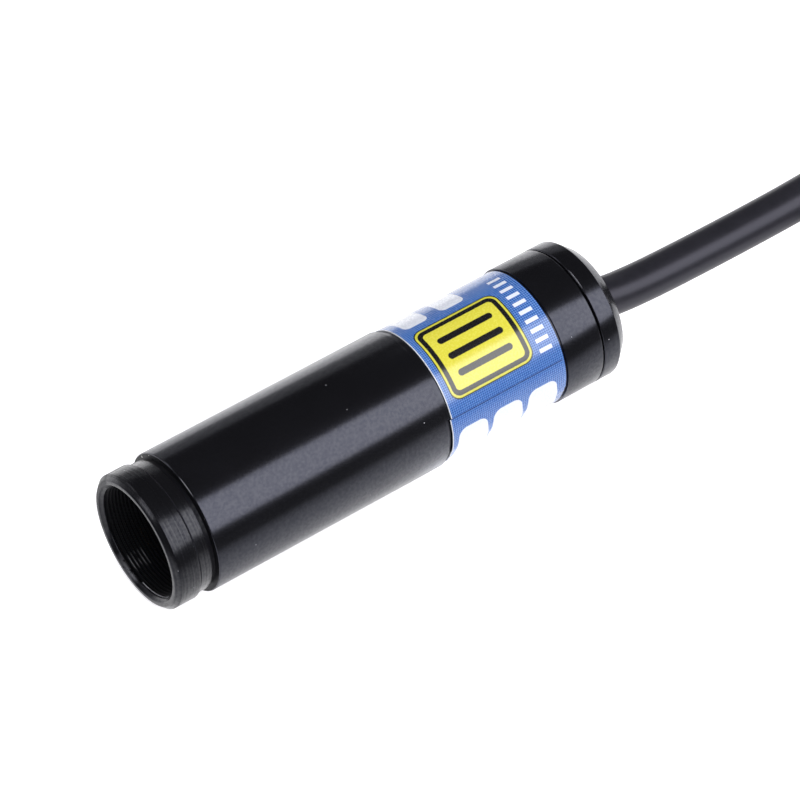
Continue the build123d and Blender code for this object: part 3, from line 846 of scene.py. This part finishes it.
def tube(rings, looped=False):
    """Joins rings of points, in mm, into one closed shell."""
    first, count = len(tie_verts), len(rings[0])
    tie_verts.extend(millimetres(*point) for ring in rings for point in ring)
    for index in range(len(rings) - (0 if looped else 1)):
        here, there = first + index * count, first + (index + 1) % len(rings) * count
        for side in range(count):
            after = (side + 1) % count
            tie_faces.append((here + side, here + after, there + after, there + side))
    if not looped:
        tie_faces.append(tuple(range(first, first + count)))
        tie_faces.append(tuple(range(len(tie_verts) - count, len(tie_verts))))


def strip_section(width, wire, count=24):
    """A flat strip's outline, bulged over the wire in its middle, as (across, out) points."""
    points = []
    for index in range(count):
        angle = 2 * pi * index / count
        sideways = width / 2 * cos(angle) * min(1.0, 1.25 - 0.25 * abs(sin(angle)))
        bulge = wire * max(0.0, 1 - (sideways / wire) ** 2) ** 0.5
        flat = tie_thickness / 2 * min(1.0, 3.0 * abs(sin(angle)))
        points.append((sideways, max(flat, bulge) * (1 if sin(angle) >= 0 else -1)))
    return points


for tie_x, tie_y in tie_places:
    middle_x = tie_x + tie_width / 2
    hoop = []
    for index in range(hoop_steps):
        angle = 2 * pi * (index + 0.5) / hoop_steps
        run_y = tie_y + (cable_radius if cos(angle) > 0 else -cable_radius)
        hoop.append(
            [
                (
                    middle_x + sideways,
                    run_y + cos(angle) * (tie_reach + out),
                    lay_z + sin(angle) * (tie_reach + out),
                )
                for sideways, out in strip_section(tie_width, hoop_wire)
            ]
        )
    tube(hoop, looped=True)
    for strand in (0.0, pi):
        twist = []
        for index in range(twist_steps + 1):
            share = index / twist_steps
            turned_by = strand + 2 * pi * tie_turns * share
            offset = strand_offset + end_splay * max(0.0, share - splay_start)
            twist.append(
                [
                    (
                        middle_x + (tie_length - tie_width / 2) * share,
                        tie_y + cos(turned_by) * (offset + out) - sin(turned_by) * sideways,
                        lay_z + twist_rise + sin(turned_by) * (offset + out) + cos(turned_by) * sideways,
                    )
                    for sideways, out in strip_section(twist_width, twist_wire)
                ]
            )
        tube(twist)
tie_mesh = bpy.data.meshes.new("twist_ties")
tie_mesh.from_pydata(tie_verts, [], tie_faces)
twist_ties = shown("twist_ties", tie_mesh, tie_coat.material, 40)
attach(twist_ties, "root")
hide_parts("hank_ties")


# Pieces that keep their CAD shape
# The optics, the diode and its block, the driver board with its parts, the seals, the cores and
# the sleeve on the cable's end. Each takes a finish of its material's colours, in soft patches.
def plain(name, colour, shade, roughness, metallic=0.0, lines=0.0):
    """A finish of two close tones, with a roughness that varies with them. Lines is how fine the
    tool marks are, if it has any."""
    made = Finish(name)
    patches = made.noise(600.0, 3.0)
    made.set(
        Base_Color=made.blend(patches, (*colour, 1.0), (*shade, 1.0)),
        Roughness=roughness + patches * 0.12,
        Metallic=metallic,
    )
    if lines:
        tool_marks = made.noise(1.0, 2.0, (lines, 50.0, 50.0))
        made.bump(tool_marks, strength=0.15, distance=0.00002)
    return made


# Each finish's colour, shade, roughness, and where it has them, its metallic value and its lines
plain_finishes = {
    "bare_aluminium": ((0.74, 0.74, 0.75), (0.66, 0.66, 0.68), 0.28, 1.0, 20000.0),
    "brass": ((0.75, 0.55, 0.25), (0.66, 0.46, 0.2), 0.25, 1.0, 20000.0),
    "spring_steel": ((0.6, 0.6, 0.61), (0.5, 0.5, 0.52), 0.25, 1.0),
    "plated_steel": ((0.85, 0.68, 0.38), (0.78, 0.6, 0.32), 0.22, 1.0),
    "board_laminate": ((0.02, 0.16, 0.06), (0.015, 0.12, 0.045), 0.35),
    "chip_mould": ((0.02, 0.02, 0.022), (0.03, 0.03, 0.032), 0.5),
    "tantalum_mould": ((0.75, 0.5, 0.08), (0.68, 0.44, 0.06), 0.45),
    "trimmer_body": ((0.05, 0.12, 0.4), (0.04, 0.1, 0.33), 0.4),
    "sleeve_film": ((0.8, 0.76, 0.6), (0.74, 0.7, 0.54), 0.35),
    "seal_rubber": ((0.015, 0.015, 0.016), (0.025, 0.025, 0.026), 0.6),
    "shrink_sleeve": ((0.011, 0.011, 0.014), (0.018, 0.018, 0.022), 0.38),
    "core_red": ((0.5, 0.02, 0.015), (0.42, 0.015, 0.012), 0.4),
    "core_black": ((0.012, 0.012, 0.013), (0.02, 0.02, 0.021), 0.4),
    "core_white": ((0.75, 0.75, 0.73), (0.68, 0.68, 0.66), 0.4),
    "tinned_copper": ((0.7, 0.7, 0.71), (0.6, 0.6, 0.62), 0.3, 1.0),
}
finishes = {name: plain(name, *values) for name, values in plain_finishes.items()}
finishes["tie_plastic"] = tie_coat
finishes["cable_jacket"] = jacket
finishes["black_anodised"] = anodised
finishes["label_film"] = printed
glass = Finish("lens_glass")
glass.set(
    Base_Color=glass.blend(glass.noise(300.0), (0.93, 0.96, 0.97, 1.0), (0.97, 0.98, 0.99, 1.0)),
    Roughness=0.02,
    Transmission_Weight=1.0,
    IOR=1.52,
)
finishes["lens_glass"] = glass

nodes = frame["nodes"]
slots = {entry["node"]: entry["material_slot"] for entry in frame["record"]["subparts"]}
for name, node in nodes.items():
    slot = slots[name]
    node.data.materials.clear()
    node.data.materials.append(finishes[slot].material)
